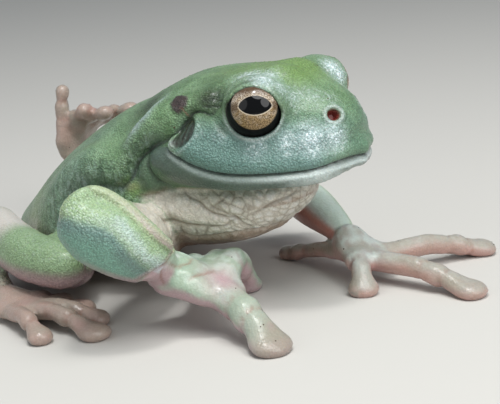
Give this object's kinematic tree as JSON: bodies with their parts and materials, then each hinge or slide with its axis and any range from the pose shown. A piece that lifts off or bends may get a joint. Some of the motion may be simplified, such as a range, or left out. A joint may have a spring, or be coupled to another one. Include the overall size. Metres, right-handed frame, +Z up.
{
  "type": "tree frog model",
  "caption": "Life-size still model of a White's tree frog sitting with its head up, fingers spread on the floor and one hind foot raised behind its back.",
  "frame": {"origin": "middle of the footprint of the model's bounding box on the floor", "axes": "+X forward out of the snout, +Y to the frog's left, +Z up from the floor it sits on"},
  "size_m": [0.1058, 0.0782, 0.0433],
  "materials": {
    "back_skin": "moist granular skin, sage green with a blue-green cheek",
    "throat_skin": "cream skin in soft scale-like folds",
    "limb_skin": "moist granular skin, pale green",
    "hand_skin": "smooth moist skin, pale green over pink",
    "eye": "wet, clear over a speckled gold iris"
  },
  "bodies": {
    "root": {"eye_left": "eye", "eye_right": "eye", "finger_left_1": "hand_skin", "finger_left_2": "hand_skin", "finger_left_3": "hand_skin", "finger_left_4": "hand_skin", "finger_right_1": "hand_skin", "finger_right_2": "hand_skin", "finger_right_3": "hand_skin", "finger_right_4": "hand_skin", "foot_left": "hand_skin", "foot_right": "hand_skin", "forearm_left": "limb_skin", "forearm_right": "limb_skin", "hand_left": "hand_skin", "hand_right": "hand_skin", "head": "back_skin", "lower_jaw": "back_skin", "shank_left": "limb_skin", "shank_right": "limb_skin", "tarsus_left": "limb_skin", "tarsus_right": "limb_skin", "thigh_left": "limb_skin", "thigh_right": "limb_skin", "throat": "throat_skin", "toe_left_1": "hand_skin", "toe_left_2": "hand_skin", "toe_left_3": "hand_skin", "toe_left_4": "hand_skin", "toe_left_5": "hand_skin", "toe_right_1": "hand_skin", "toe_right_2": "hand_skin", "toe_right_3": "hand_skin", "toe_right_4": "hand_skin", "toe_right_5": "hand_skin", "trunk": "back_skin", "upper_arm_left": "limb_skin", "upper_arm_right": "limb_skin"}
  },
  "joints": []
}
